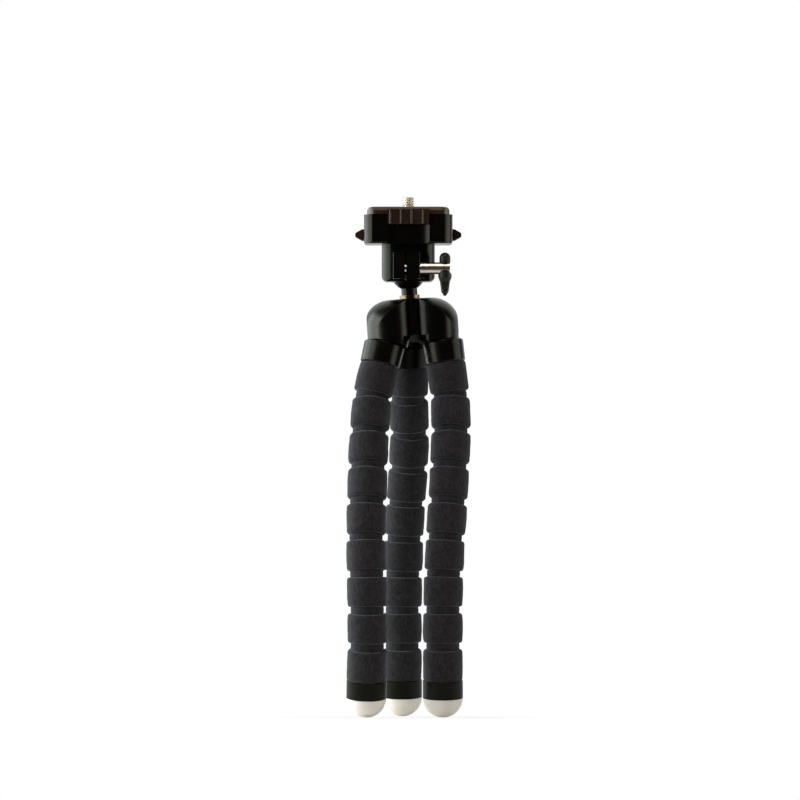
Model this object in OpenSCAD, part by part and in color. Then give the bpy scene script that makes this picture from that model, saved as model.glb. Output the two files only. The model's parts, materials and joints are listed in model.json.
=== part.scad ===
// Flexible leg tripod: a small camera stand with three bendable foam-ringed legs,
// a lobed hub, a ball joint and a quick-release platform.
// Frame: millimetres, +Z up, floor at z = 0, the camera screw's axis is the Z axis,
// the lock lever's side is +X and the clamp jaws face -Y.

/* [Legs] */
// Outer diameter of a foam ring
foam_ring_diameter = 20.6; // [19.6:0.2:21.4]
// Height of a foam ring
foam_ring_height = 15.3; // [13:0.1:17]
// Gap between two rings, where the neck shows
neck_gap = 3.5; // [3.3:0.1:4.5]
// Diameter of the neck between two rings
neck_diameter = 16.8; // [15.2:0.2:17]
// Radius of the rounded edges of a foam ring
ring_edge_radius = 1.5; // [1:0.1:2]
// Diameter of the bendable core wire
core_wire_diameter = 4; // [3:0.2:4.4]
// Height of the ferrule that ends a leg
ferrule_height = 9.4; // [8.4:0.2:11]
// Diameter of the rubber foot
foot_diameter = 20.6; // [19.6:0.2:21.4]

/* [Hub] */
// Largest diameter of the domed hub
hub_diameter = 50; // [49:0.5:54]
// Height of the hub
hub_height = 19.3; // [18:0.1:22]
// Wall thickness of the hub shell
hub_wall = 2.2; // [1.8:0.1:2.6]
// Radius of the round edge of the dome
dome_edge = 14; // [12:0.5:15]
// Radius of a lobe of the hub
lobe_radius = 12; // [11.8:0.1:12.6]
// Distance of a lobe's centre from the hub's axis
lobe_place = 13.6; // [13.4:0.1:14]
// Radius of the hub's middle, behind the ribs
hub_core_radius = 10; // [9.6:0.1:10.6]
// Reach of the upright ribs between the lobes
web_reach = 15.5; // [14.5:0.1:16.5]
// Width of a rib
web_width = 4.4; // [4:0.1:5]
// Distance of each leg's root from the hub's axis
leg_root_radius = 17; // [16.7:0.1:17.3]
// Height of a leg collar
collar_height = 11.7; // [10.2:0.5:13.2]

/* [Ball joint] */
// Diameter of the ball
ball_diameter = 17.6; // [16:0.2:18]
// Diameter of the neck below the ball
stem_diameter = 8.3; // [7.4:0.1:9]
// Height of the ball's centre above the underside of the hub
ball_height = 32.5; // [31.5:0.5:36]
// Diameter of the lock screw's rod
lock_rod_diameter = 6.2; // [5.6:0.2:6.6]
// Length of the lock lever's short arm, from the rod's axis
lever_short_arm = 8.2; // [7:0.2:9]
// Length of the lock lever's long arm, from the rod's axis
lever_long_arm = 14.3; // [12.5:0.1:15]

/* [Platform] */
// Width of the quick-release platform across its two ears
platform_width = 46; // [45:0.5:50]
// Depth of the platform from front to back
platform_depth = 39; // [37:0.5:44]
// Height of the platform up to the top of its ears
ear_height = 15.1; // [15:0.1:16.5]
// Width of the channel between the ears
channel_width = 22; // [21.6:0.2:22.4]
// Thickness of the quick-release plate's flange
flange_thickness = 3.7; // [3.3:0.1:4.4]
// Thickness of the rubber pad on the plate
pad_thickness = 1; // [0.8:0.1:1.6]
// Width of a release button
button_width = 12.2; // [10:0.2:12.6]
// Reach of a release button beyond the platform's side
button_reach = 4.6; // [3.6:0.1:5.6]
// Major diameter of the camera screw, a 1/4 inch 20 per inch thread
camera_screw_diameter = 6.35; // [6.2:0.05:6.4]
// Length of the camera screw above the pad
camera_screw_length = 5.4; // [4.6:0.1:6]

/* [Stance] */
// Turn of the hub and its legs about the vertical
hub_turn = 5; // [0:1:10]
// Lean of the hub to the left
hub_lean = 3.5; // [0:0.5:4]

/* [Hidden] */
$fn = 64;
// names of the legs' places: left is 0, right is 1, rear is 2
LEFT = 0;
RIGHT = 1;
REAR = 2;
// direction of each leg's root around the hub
leg_azimuth = [210 + hub_turn, 330 + hub_turn, 90 + hub_turn];
// outward tilt of each collar, in degrees, posed by hand
collar_tilt = [16, 9, 12];
// sideways lean of rings 2 to 9, lower end to the right counted positive, posed by hand
side_lean = [
    [-5, -2, -2, -1, 1, 1, 0, -1],
    [1, -2, -3, -4, -3, -1, 0, 0],
    [2, -2, -4, -3, -2, -1, 0, 0]
];
// lean of rings 2 to 9 in depth, lower end to the back counted positive, posed by hand
depth_lean = [
    [-14.7, -16, -13, -10, -6, 0, 5, 11],
    [-11.9, -14, -10, -7, -3, 0, 4, 8],
    [16.8, 16, 12, 7, 5, 2, 4, 8]
];

// clearances: a sliding or turning fit, a loose cavity, a glued or screwed seat
fit = 0.08;
loose = 0.3;
seat = 0.1;
// a length that reaches beyond any piece, and the overlap of a cut
beyond = 70;
over = 1;

// sizes of the legs
ring_r = foam_ring_diameter / 2;
neck_r = neck_diameter / 2;
cup_r = neck_r + loose + 0.05;
wire_r = core_wire_diameter / 2;
wire_room = 0.45;
bore_r = wire_r + wire_room;
ring_pitch = foam_ring_height + neck_gap;
half_gap = neck_gap / 2;
// the last ring is a little taller, down to the ferrule
last_ring_extra = 0.6;
last_ring_height = foam_ring_height + last_ring_extra;
foot_r = foot_diameter / 2;
foot_flat = 0.4;
foot_flat_r = sqrt(2 * foot_r * foot_flat - foot_flat * foot_flat);
foot_plug_r = 7;
foot_plug_height = 3.4;
ferrule_lip = 0.1;
ferrule_chamfer = 0.5;
ferrule_plug_r = 6.1;
ferrule_plug_height = 4.6;
collar_lip = 0.4;
collar_r = ring_r + collar_lip;
collar_chamfer = 0.9;
collar_foot_chamfer = 0.6;
collar_plug_r = 8.2;
collar_plug_height = 4;
spigot_r = 6.5;
spigot_drop = 1.9;
spigot_post_r = 5.4;
spigot_boss_r = 4.4;
spigot_boss_height = 7;
spigot_cap = 1.6;
flare = 5;
flare_reach = flare * tan(20);
wire_root = 7;
wire_tail = 2.6;

// sizes of the hub
hub_r = hub_diameter / 2;
plate_inset = hub_wall + seat + 0.05;
spider_plate = 4;
spider_post_r = 6.5;
under_boss_r = hub_core_radius - plate_inset + 1.6;
under_boss_low_r = 5.6;
under_boss_depth = 3.4;
skirt_inset = 0.15;
skirt_depth = 12;
skirt_gap = 0.5;
skirt_r = 12;
stem_foot_r = 3.6;
stem_foot_depth = 7.4;
bolt_r = 2.5;
bolt_head_r = 4.6;
bolt_head_height = 2.5;
bolt_head_low = 0.4;
bolt_socket_r = 2;
bolt_socket_depth = 1.6;
bolt_top = hub_height - 2;
washer_r = 5.2;
washer_thickness = 1.9;

// sizes of the ball joint
ball_r = ball_diameter / 2;
stem_r = stem_diameter / 2;
liner_thickness = 1.2;
liner_in = ball_r + fit;
liner_out = liner_in + liner_thickness;
socket_r = liner_out + fit;
liner_eye = 2;

// heights in the head, counted from the ball's centre
housing_low = -4.3;
housing_high = 15.2;
housing_wall = 3.4;
housing_x = max(13.8, socket_r + housing_wall);
housing_y = 13.5;
housing_corner = 7.2;
housing_foot_edge = 3;
jaw_front = -21.3;
jaw_low = -3.2;
jaw_high = 10.4;
jaw_left = -7.9;
jaw_right = 6;
jaw_edge = 0.4;
slit_x = -1.4;
slit_width = 0.9;
lock_z = 2.3;
lock_y = -17;
rod_r = lock_rod_diameter / 2;
thread_r = 2.4;
nut_r = 3.7;
nut_height = 2.7;
nut_sink = 0.3;
lever_x = 19;
rod_end = 21.6;
lever_pin_r = 2;
lever_upper_r = 2.85;
lever_saddle_r = 3.5;
lever_saddle_top = 0.2;
lever_saddle_low = 4.6;
lever_waist = 7;
lever_waist_r = 2.6;
lever_point = 2.2;
lever_point_r = 1.95;
lever_tip_r = 0.6;
lever_flat = 1.7;
lever_notch_low = 1.2;

// sizes of the platform and its plate
platform_low = housing_high;
ear_high = platform_low + ear_height;
ear_corner = 7.2;
ear_crest = ear_corner * (1 - cos(25));
ear_foot_edge = 1.5;
channel_depth = 5.4;
channel_floor = ear_high - channel_depth;
button_z = platform_low + 4.8;
button_travel = 2.2;
platform_x = platform_width / 2;
platform_y = platform_depth / 2;
channel_x = channel_width / 2;
stop_step = 1;
stop_depth = 2.5;
panel_sink = 2.1;
panel_slope = 0.8;
panel_curve = 11.5;
panel_curve_x = channel_x - sqrt(panel_curve * panel_curve - pow(panel_curve - panel_sink, 2));
side_wall = 2.5;
window_y = button_width / 2 + loose;
window_z = 3.3;
cavity_y = 7.4;
cavity_x = platform_x - side_wall;
inner_cavity_x = 11.3;
bar_wall = 1.3;
bar_half_width = 2.6;
bar_height = 2;
bar_tip = 5;
hook_width = 2.2;
hook_lip = 0.5;
hook_lip_height = 1.35;
hook_height = 5.2;
button_half_height = window_z - loose - 0.05;
button_flat = 0.6;
button_shoulder = 1.7;
screw_place = 11.2;
small_screw_r = 1.4;
small_head_r = 2.9;
small_head_height = 2.2;
small_screw_depth = 6;
small_head_floor = 3;
small_slot = 1;
spring_coil_r = 1.35;
spring_wire_r = 0.3;
spring_turns = 5;
tongue_low = channel_floor + loose - 0.05;
flange_low = ear_high + seat;
flange_high = flange_low + flange_thickness;
pad_sink = 0.8;
pad_low = flange_high - pad_sink;
pad_high = pad_low + pad_thickness;
plate_margin = 1.6;
plate_x = platform_x - plate_margin;
plate_y = platform_y + 0.5;
plate_corner = 5;
plate_edge = 2.2;
pad_margin = 2.7;
pad_corner = 2.6;
tongue_front = 0.7;
tongue_x = channel_x - loose + 0.05;
rib_r = 0.55;
// places of the four grip ribs across the tongue
rib_places = [-9.3, -3.8, 1.7, 7.6];
rib_end = 0.3;
lug_outer = 10.3;
lug_thickness = 1.6;
lug_half_width = 3.8;
lug_drop = 4.7;
lug_lip = 0.7;
lug_lip_height = 1.2;
screw_r = camera_screw_diameter / 2;
screw_seat = pad_high + seat;
screw_top = pad_high + camera_screw_length;
screw_chamfer = 0.5;
screw_head_r = 6;
screw_head_low = 1.6;
screw_head_height = 2.6;
screw_head_room = 4.6;
screw_neck_r = screw_r - 0.7;
coin_slot = 1.6;
coin_slot_depth = 1.2;

// turn a vector about the Y axis so that the hub's top leans left
function lean(v) = [
    cos(hub_lean) * v[0] - sin(hub_lean) * v[2],
    v[1],
    sin(hub_lean) * v[0] + cos(hub_lean) * v[2]
];
// unit vector down a collar or a ring
function unit(v) = v / norm(v);
function ring_down(leg, k) = k == 0
    ? [sin(collar_tilt[leg]) * cos(leg_azimuth[leg]),
       sin(collar_tilt[leg]) * sin(leg_azimuth[leg]), -cos(collar_tilt[leg])]
    : unit([tan(side_lean[leg][k - 1]), tan(depth_lean[leg][k - 1]), -1]);
// bending points, counted from the ball's centre: 0 under the hub, then one in each neck
function bend_point(leg, k) = k == 0
    ? lean([leg_root_radius * cos(leg_azimuth[leg]),
            leg_root_radius * sin(leg_azimuth[leg]), -spigot_drop - ball_height])
    : bend_point(leg, k - 1)
      + ring_down(leg, k - 1) * (k == 1 ? collar_height + ring_pitch : ring_pitch);
function foot_centre(leg) = bend_point(leg, 8)
    + ring_down(leg, 8) * (half_gap + last_ring_height + ferrule_height);
// a foot that leans stands on the edge of its flat
function foot_low(leg) = foot_centre(leg)[2] + ring_down(leg, 8)[2] * (foot_r - foot_flat)
    - foot_flat_r * norm([ring_down(leg, 8)[0], ring_down(leg, 8)[1]]);
// height of the ball's centre above the floor
stand = -min(foot_low(LEFT), foot_low(RIGHT), foot_low(REAR));

// Places and turns

module at_head() translate([0, 0, stand]) children();
module at_hub()
    translate([0, 0, stand])
        rotate([0, -hub_lean, 0])
            translate([0, 0, -ball_height])
                children();
// put a piece at bending point k of a leg, its own Z axis up along the leg
module at_bend(leg, k) {
    up = -ring_down(leg, k);
    at_head()
        translate(bend_point(leg, k))
            rotate([0, acos(up[2]), atan2(up[1], up[0])])
                children();
}

// Shared outlines

module rounded_box_outline(x, y, r) {
    square([2 * x - 2 * r, 2 * y], center = true);
    square([2 * x, 2 * y - 2 * r], center = true);
    for (sx = [-1, 1], sy = [-1, 1])
        translate([sx * (x - r), sy * (y - r)])
            circle(r);
}
// outline with its two lower corners rounded, from low to high
module foot_rounded_outline(x, low, high, r) {
    translate([-x, low + r])
        square([2 * x, high - low - r]);
    translate([-x + r, low])
        square([2 * (x - r), high - low]);
    for (s = [-1, 1])
        translate([s * (x - r), low + r])
            circle(r);
}
// a block with rounded upright corners and rounded lower edges
// its corners are cut short by a crest in front and behind, which leaves an upright edge
module foot_rounded_block(x, y, low, high, corner, edge, crest = 0)
    intersection() {
        translate([0, 0, low])
            linear_extrude(high - low)
                intersection() {
                    rounded_box_outline(x, y + crest, corner);
                    square([2 * x, 2 * y], center = true);
                }
        rotate([90, 0, 0])
            linear_extrude(4 * y, center = true)
                foot_rounded_outline(x, low, high, edge);
        rotate([90, 0, 90])
            linear_extrude(4 * x, center = true)
                foot_rounded_outline(y, low, high, edge);
    }
// half section of a cylinder from z = low to z = high with rounded outer edges
module rounded_section(r, low, high, edge) {
    translate([0, low])
        square([r - edge, high - low]);
    translate([0, low + edge])
        square([r, high - low - 2 * edge]);
    translate([r - edge, low + edge])
        circle(edge);
    translate([r - edge, high - edge])
        circle(edge);
}
// half section of the flared hole below a bending point, where the wire may lean
module flare_section(z)
    polygon([[0, z + over], [bore_r, z + over], [bore_r, z], [bore_r + flare_reach, z - flare],
             [bore_r + flare_reach, z - flare - over], [0, z - flare - over]]);
// the right half of the plane, to cut half sections from
module right_half()
    translate([0, -beyond])
        square([beyond, 2 * beyond]);
// half section of the wire's bore
module bore_section()
    translate([-over, -beyond])
        square([over + bore_r, 2 * beyond]);
// half section of the ball neck below a ring
module neck_section(z)
    intersection() {
        translate([0, z])
            circle(neck_r);
        translate([-beyond, z - flare])
            square([2 * beyond, flare + neck_gap]);
    }

// Leg pieces, each drawn with its bending point at the origin

foam_grey = [0.17, 0.17, 0.18];
gloss_black = [0.05, 0.05, 0.055];

// a foam ring with the cup for the neck above it and its own ball neck below
module foam_bead(last) {
    height = last ? last_ring_height : foam_ring_height;
    low = -half_gap - height;
    rotate_extrude()
        intersection() {
            right_half();
            difference() {
                union() {
                    rounded_section(ring_r, low, -half_gap, ring_edge_radius);
                    if (!last)
                        neck_section(-ring_pitch);
                }
                circle(cup_r);
                bore_section();
                if (last)
                    translate([-over, low - over])
                        square([over + ferrule_plug_r + seat, over + ferrule_plug_height + 4 * seat]);
                else
                    flare_section(-ring_pitch);
            }
        }
}
// the first foam ring, whose plug sits in the collar
module first_bead() {
    high = -half_gap - collar_height;
    low = high - foam_ring_height;
    rotate_extrude()
        intersection() {
            right_half();
            difference() {
                union() {
                    rounded_section(ring_r, low, high, ring_edge_radius);
                    translate([0, high - over])
                        square([collar_plug_r, over + collar_plug_height]);
                    neck_section(low - half_gap);
                }
                bore_section();
                flare_section(low - half_gap);
            }
        }
}
// the moulded collar that carries a leg under the hub
module collar() {
    low = -half_gap - collar_height;
    color(gloss_black)
        rotate_extrude()
            intersection() {
                right_half();
                difference() {
                    polygon([[0, -half_gap], [collar_r - collar_chamfer, -half_gap],
                             [collar_r, -half_gap - collar_chamfer],
                             [ring_r + ferrule_lip, low + collar_foot_chamfer],
                             [ring_r + ferrule_lip - collar_foot_chamfer, low], [0, low]]);
                    circle(spigot_r + loose + 0.05);
                    bore_section();
                    translate([-over, low - over])
                        square([over + collar_plug_r + seat, over + collar_plug_height + 2 * seat]);
                }
            }
}
// the ferrule under the last ring, with a plug up into the foam and a recess for the foot
module ferrule() {
    high = -half_gap - last_ring_height;
    low = high - ferrule_height;
    bore_end = high - wire_tail - 4 * seat;
    recess = low + foot_plug_height + 2 * seat;
    color(gloss_black)
        rotate_extrude()
            polygon([[0, bore_end], [bore_r, bore_end], [bore_r, high + ferrule_plug_height],
                     [ferrule_plug_r, high + ferrule_plug_height], [ferrule_plug_r, high],
                     [ring_r + ferrule_lip - ferrule_chamfer, high],
                     [ring_r + ferrule_lip, high - ferrule_chamfer],
                     [ring_r + ferrule_lip, low], [foot_plug_r + seat, low], [foot_plug_r + seat, recess],
                     [0, recess]]);
}
// the rubber foot: a half ball with a plug and a small flat to stand on
module foot() {
    centre = -half_gap - last_ring_height - ferrule_height;
    color([0.93, 0.91, 0.84])
        rotate_extrude()
            union() {
                intersection() {
                    translate([0, centre])
                        circle(foot_r);
                    translate([0, centre - foot_r + foot_flat])
                        square([foot_r + over, foot_r - foot_flat]);
                }
                translate([0, centre - 2 * over])
                    square([foot_plug_r, 2 * over + foot_plug_height]);
            }
}
// the bendable core wire, swept through all bending points of its leg
function wire_points(leg) = concat(
    [bend_point(leg, 0) + lean([0, 0, wire_root])],
    [for (k = [0 : 8]) bend_point(leg, k)],
    [bend_point(leg, 8) + ring_down(leg, 8) * (half_gap + last_ring_height + wire_tail)]
);
function wire_run(p, i) = unit(p[min(i + 1, len(p) - 1)] - p[max(i - 1, 0)]);
module core_wire(leg) {
    sides = 10;
    p = wire_points(leg);
    count = len(p);
    corners = [
        for (i = [0 : count - 1])
            let (run = wire_run(p, i), across = unit(cross(run, [0, 1, 0])), back = cross(run, across))
                for (j = [0 : sides - 1])
                    p[i] + wire_r * (cos(360 * j / sides) * across + sin(360 * j / sides) * back)
    ];
    walls = [
        for (i = [0 : count - 2], j = [0 : sides - 1])
            let (a = i * sides + j, b = i * sides + (j + 1) % sides)
                each [[a, b, a + sides], [b, b + sides, a + sides]]
    ];
    ends = concat([[for (j = [sides - 1 : -1 : 0]) j]],
                  [[for (j = [0 : sides - 1]) (count - 1) * sides + j]]);
    color([0.75, 0.75, 0.77])
        at_head()
            polyhedron(corners, concat(walls, ends), convexity = 8);
}

// Pieces of the left leg

module left_collar() at_bend(LEFT, 0) collar();
module left_foam_1() at_bend(LEFT, 0) color(foam_grey) first_bead();
module left_foam_2() at_bend(LEFT, 1) color(foam_grey) foam_bead(false);
module left_foam_3() at_bend(LEFT, 2) color(foam_grey) foam_bead(false);
module left_foam_4() at_bend(LEFT, 3) color(foam_grey) foam_bead(false);
module left_foam_5() at_bend(LEFT, 4) color(foam_grey) foam_bead(false);
module left_foam_6() at_bend(LEFT, 5) color(foam_grey) foam_bead(false);
module left_foam_7() at_bend(LEFT, 6) color(foam_grey) foam_bead(false);
module left_foam_8() at_bend(LEFT, 7) color(foam_grey) foam_bead(false);
module left_foam_9() at_bend(LEFT, 8) color(foam_grey) foam_bead(true);
module left_ferrule() at_bend(LEFT, 8) ferrule();
module left_foot() at_bend(LEFT, 8) foot();
module left_core_wire() core_wire(LEFT);

// Pieces of the right leg

module right_collar() at_bend(RIGHT, 0) collar();
module right_foam_1() at_bend(RIGHT, 0) color(foam_grey) first_bead();
module right_foam_2() at_bend(RIGHT, 1) color(foam_grey) foam_bead(false);
module right_foam_3() at_bend(RIGHT, 2) color(foam_grey) foam_bead(false);
module right_foam_4() at_bend(RIGHT, 3) color(foam_grey) foam_bead(false);
module right_foam_5() at_bend(RIGHT, 4) color(foam_grey) foam_bead(false);
module right_foam_6() at_bend(RIGHT, 5) color(foam_grey) foam_bead(false);
module right_foam_7() at_bend(RIGHT, 6) color(foam_grey) foam_bead(false);
module right_foam_8() at_bend(RIGHT, 7) color(foam_grey) foam_bead(false);
module right_foam_9() at_bend(RIGHT, 8) color(foam_grey) foam_bead(true);
module right_ferrule() at_bend(RIGHT, 8) ferrule();
module right_foot() at_bend(RIGHT, 8) foot();
module right_core_wire() core_wire(RIGHT);

// Pieces of the rear leg

module rear_collar() at_bend(REAR, 0) collar();
module rear_foam_1() at_bend(REAR, 0) color(foam_grey) first_bead();
module rear_foam_2() at_bend(REAR, 1) color(foam_grey) foam_bead(false);
module rear_foam_3() at_bend(REAR, 2) color(foam_grey) foam_bead(false);
module rear_foam_4() at_bend(REAR, 3) color(foam_grey) foam_bead(false);
module rear_foam_5() at_bend(REAR, 4) color(foam_grey) foam_bead(false);
module rear_foam_6() at_bend(REAR, 5) color(foam_grey) foam_bead(false);
module rear_foam_7() at_bend(REAR, 6) color(foam_grey) foam_bead(false);
module rear_foam_8() at_bend(REAR, 7) color(foam_grey) foam_bead(false);
module rear_foam_9() at_bend(REAR, 8) color(foam_grey) foam_bead(true);
module rear_ferrule() at_bend(REAR, 8) ferrule();
module rear_foot() at_bend(REAR, 8) foot();
module rear_core_wire() core_wire(REAR);

// Hub pieces, drawn with the hub's underside at z = 0

// plan of the three lobes round the middle, with upright ribs between them on the outside
module lobe_plan(inset) {
    circle(hub_core_radius - inset);
    for (leg = [LEFT, RIGHT, REAR]) {
        rotate(leg_azimuth[leg])
            translate([lobe_place, 0])
                circle(lobe_radius - inset);
        if (inset == 0)
            rotate(leg_azimuth[leg] + 60)
                translate([0, -web_width / 2])
                    square([web_reach, web_width]);
    }
}
// half section of the dome
module dome_section(inset) {
    r = hub_r - inset;
    h = hub_height - inset;
    edge = dome_edge - inset;
    square([r - edge, h]);
    translate([0, -over])
        square([r, h - edge + over]);
    intersection() {
        translate([r - edge, h - edge])
            circle(edge);
        translate([0, -over])
            square([r + over, h + 2 * over]);
    }
}
module lobed_dome(inset)
    intersection() {
        rotate_extrude($fn = 96)
            intersection() {
                dome_section(inset);
                translate([0, -over])
                    square([2 * hub_r, 2 * hub_height]);
            }
        translate([0, 0, inset > 0 ? -over : 0])
            linear_extrude(hub_height + 2 * over)
                lobe_plan(inset);
    }
module hub_shell()
    color(gloss_black)
        at_hub()
            difference() {
                lobed_dome(0);
                lobed_dome(hub_wall);
                translate([0, 0, hub_height / 2])
                    cylinder(r = stem_foot_r + 1.5 * seat, h = hub_height);
            }
// the spider inside the hub: a plate, a centre post and three ball spigots for the legs
module hub_spider()
    color([0.1, 0.1, 0.11])
        difference() {
            union() {
                at_hub() {
                    intersection() {
                        linear_extrude(spider_plate)
                            lobe_plan(plate_inset);
                        cylinder(r = hub_r - plate_inset, h = spider_plate);
                    }
                    cylinder(r = spider_post_r, h = hub_height - hub_wall);
                    // the tapered boss under the hub
                    translate([0, 0, -under_boss_depth])
                        cylinder(r1 = under_boss_low_r, r2 = under_boss_r, h = under_boss_depth);
                    for (leg = [LEFT, RIGHT, REAR])
                        rotate(leg_azimuth[leg])
                            translate([leg_root_radius, 0, 0])
                                spigot();
                }
                for (leg = [LEFT, RIGHT, REAR])
                    lobe_foot(leg);
            }
            at_hub() {
                translate([0, 0, -skirt_depth])
                    cylinder(r = bolt_r + seat, h = skirt_depth + hub_height + over);
                translate([0, 0, -skirt_depth])
                    cylinder(r = bolt_head_r + 2 * seat,
                             h = skirt_depth + bolt_head_low + bolt_head_height + seat);
                translate([0, 0, hub_height - stem_foot_depth - seat])
                    cylinder(r = stem_foot_r + 1.5 * seat, h = hub_height);
                for (leg = [LEFT, RIGHT, REAR])
                    rotate(leg_azimuth[leg])
                        translate([leg_root_radius, 0, -spigot_drop])
                            rotate_extrude()
                                union() {
                                    translate([0, -beyond])
                                        square([bore_r, beyond + wire_root + over]);
                                    flare_section(0);
                                }
            }
        }
// the slanted foot of a lobe, square to the leg and just clear of its collar
module lobe_foot(leg)
    intersection() {
        at_hub()
            translate([0, 0, -skirt_depth])
                linear_extrude(skirt_depth)
                    intersection() {
                        lobe_plan(skirt_inset);
                        circle(hub_r - skirt_inset);
                    }
        at_bend(leg, 0)
            translate([0, 0, skirt_gap - half_gap])
                cylinder(r = skirt_r, h = beyond);
    }
// one spigot: a short post with a ball end that the collar's cup leans on
module spigot() {
    translate([0, 0, -spigot_drop])
        cylinder(r = spigot_post_r, h = spigot_drop + over);
    translate([0, 0, over])
        cylinder(r = spigot_boss_r, h = spigot_boss_height - over);
    intersection() {
        translate([0, 0, -spigot_drop])
            sphere(spigot_r);
        translate([0, 0, -spigot_drop - flare])
            cylinder(r = 2 * spigot_r, h = flare + spigot_cap);
    }
}
// the bolt that pulls ball stem and spider together
module hub_bolt()
    color([0.72, 0.72, 0.74])
        at_hub()
            difference() {
                union() {
                    translate([0, 0, bolt_head_low])
                        cylinder(r = bolt_head_r, h = bolt_head_height);
                    translate([0, 0, bolt_head_low + bolt_head_height - seat])
                        cylinder(r = bolt_r, h = bolt_top - bolt_head_low - bolt_head_height + seat);
                }
                translate([0, 0, bolt_head_low - over])
                    cylinder(r = bolt_socket_r, h = over + bolt_socket_depth, $fn = 6);
            }
// the bright ring under the ball's neck
module stem_washer()
    color([0.78, 0.68, 0.45])
        at_hub()
            translate([0, 0, hub_height])
                difference() {
                    cylinder(r = washer_r, h = washer_thickness);
                    translate([0, 0, -over])
                        cylinder(r = stem_foot_r + seat, h = washer_thickness + 2 * over);
                }
// the ball on its neck
module ball_stem()
    color([0.09, 0.09, 0.1])
        at_hub()
            difference() {
                union() {
                    translate([0, 0, ball_height])
                        sphere(ball_r, $fn = 96);
                    translate([0, 0, hub_height + washer_thickness + seat / 2])
                        cylinder(r = stem_r, h = ball_height - hub_height - washer_thickness);
                    translate([0, 0, hub_height - stem_foot_depth])
                        cylinder(r = stem_foot_r, h = stem_foot_depth + washer_thickness + over);
                }
                translate([0, 0, hub_height - stem_foot_depth - over])
                    cylinder(r = bolt_r + seat / 2, h = stem_foot_depth);
            }

// Head pieces, drawn with the ball's centre at the origin

// half section of a thin spherical shell between two heights
module liner_section(low, high)
    intersection() {
        difference() {
            circle(liner_out);
            circle(liner_in);
        }
        translate([0, low])
            square([liner_out + over, high - low]);
    }
// the nylon ring that turns round the ball
module ball_retainer_ring()
    color([0.55, 0.55, 0.57])
        at_head()
            rotate_extrude($fn = 96)
                liner_section(-liner_out * cos(69), -liner_out * cos(86));
// the nylon cup that rests on the ball
module ball_friction_cup()
    color([0.6, 0.6, 0.62])
        at_head()
            rotate_extrude($fn = 96)
                difference() {
                    liner_section(liner_out * cos(62), liner_out + over);
                    translate([-over, 0])
                        square([over + liner_eye, 2 * liner_out]);
                }
// plan of the two jaws, their front corners rounded
module jaw_plan() {
    translate([jaw_left, jaw_front + jaw_edge])
        square([jaw_right - jaw_left, -jaw_front - jaw_edge - housing_y / 2]);
    translate([jaw_left + jaw_edge, jaw_front])
        square([jaw_right - jaw_left - 2 * jaw_edge, -jaw_front - housing_y / 2]);
    for (x = [jaw_left + jaw_edge, jaw_right - jaw_edge])
        translate([x, jaw_front + jaw_edge])
            circle(jaw_edge);
}
// the split housing that grips the ball
module clamp_housing()
    color(gloss_black)
        at_head()
            difference() {
                union() {
                    foot_rounded_block(housing_x, housing_y, housing_low, housing_high,
                                       housing_corner, housing_foot_edge);
                    translate([0, 0, jaw_low])
                        linear_extrude(jaw_high - jaw_low)
                            jaw_plan();
                }
                sphere(socket_r, $fn = 96);
                // the slit between the two jaws, through the front wall
                translate([slit_x - slit_width / 2, jaw_front - over, jaw_low - 3 * over])
                    cube([slit_width, -jaw_front - socket_r / 2, jaw_high - jaw_low + 4 * over]);
                // the lock screw's hole and the nut's pocket
                translate([0, lock_y, lock_z])
                    rotate([0, 90, 0])
                        cylinder(r = thread_r + loose, h = 2 * beyond, center = true);
                translate([jaw_left - over, lock_y, lock_z])
                    rotate([0, 90, 0])
                        cylinder(r = nut_r + 2 * seat, h = over + nut_sink + nut_height + 2 * seat, $fn = 6);
                // the platform screws' holes
                for (s = [-1, 1])
                    translate([0, s * screw_place, housing_high - small_screw_depth - 10 * seat])
                        cylinder(r = small_screw_r + seat, h = beyond);
            }
// the captive nut in the left jaw
module clamp_nut()
    color([0.72, 0.72, 0.74])
        at_head()
            translate([jaw_left + nut_sink, lock_y, lock_z])
                rotate([0, 90, 0])
                    difference() {
                        cylinder(r = nut_r, h = nut_height, $fn = 6);
                        translate([0, 0, -over])
                            cylinder(r = thread_r + fit, h = nut_height + 2 * over);
                    }
// the lock screw: a threaded end in the jaws and a stout bright rod outside
module lock_screw()
    color([0.74, 0.71, 0.66])
        at_head()
            translate([0, lock_y, lock_z])
                difference() {
                    rotate([0, 90, 0])
                        union() {
                            translate([0, 0, jaw_right + loose])
                                cylinder(r = rod_r, h = rod_end - jaw_right - loose);
                            translate([0, 0, jaw_left + 2 * seat])
                                cylinder(r = thread_r, h = jaw_right - jaw_left + over);
                        }
                    translate([lever_x, 0, -beyond])
                        cylinder(r = lever_pin_r + seat / 2, h = 2 * beyond);
                }
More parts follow.
